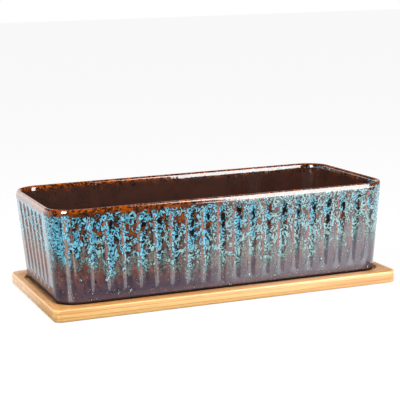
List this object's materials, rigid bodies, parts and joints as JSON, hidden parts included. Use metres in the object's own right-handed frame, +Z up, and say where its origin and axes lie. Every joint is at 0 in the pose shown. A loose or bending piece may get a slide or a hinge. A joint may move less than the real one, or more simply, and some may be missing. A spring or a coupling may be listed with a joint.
{
  "type": "rectangular planter",
  "caption": "Rectangular tapered planter of glazed ceramic with fluted walls and drain holes, standing in the recess of a removable bamboo tray.",
  "frame": {"origin": "on the supporting surface, under the middle of the tray", "axes": "+X along the length, the long front wall faces -Y, +Z up"},
  "size_m": [0.308, 0.156, 0.0881],
  "materials": {
    "bamboo": "satin laminated bamboo, lightly oiled",
    "glaze": "glossy reactive glaze, turquoise over dark brown, breaking to rust on edges",
    "screen_plastic": "matt moulded plastic"
  },
  "bodies": {
    "tray": {"tray": "bamboo"},
    "pot": {"pot": "glaze"},
    "screen_left": {"drain_screen_left": "screen_plastic"},
    "screen_right": {"drain_screen_right": "screen_plastic"}
  },
  "joints": [
    {"name": "pot_lift", "type": "slide", "parent": "tray", "child": "pot", "axis": [0, 0, 1], "range_m": [0, 0.15]},
    {"name": "screen_left_lift", "type": "slide", "parent": "pot", "child": "screen_left", "axis": [0, 0, 1], "range_m": [0, 0.12]},
    {"name": "screen_right_lift", "type": "slide", "parent": "pot", "child": "screen_right", "axis": [0, 0, 1], "range_m": [0, 0.12]}
  ]
}
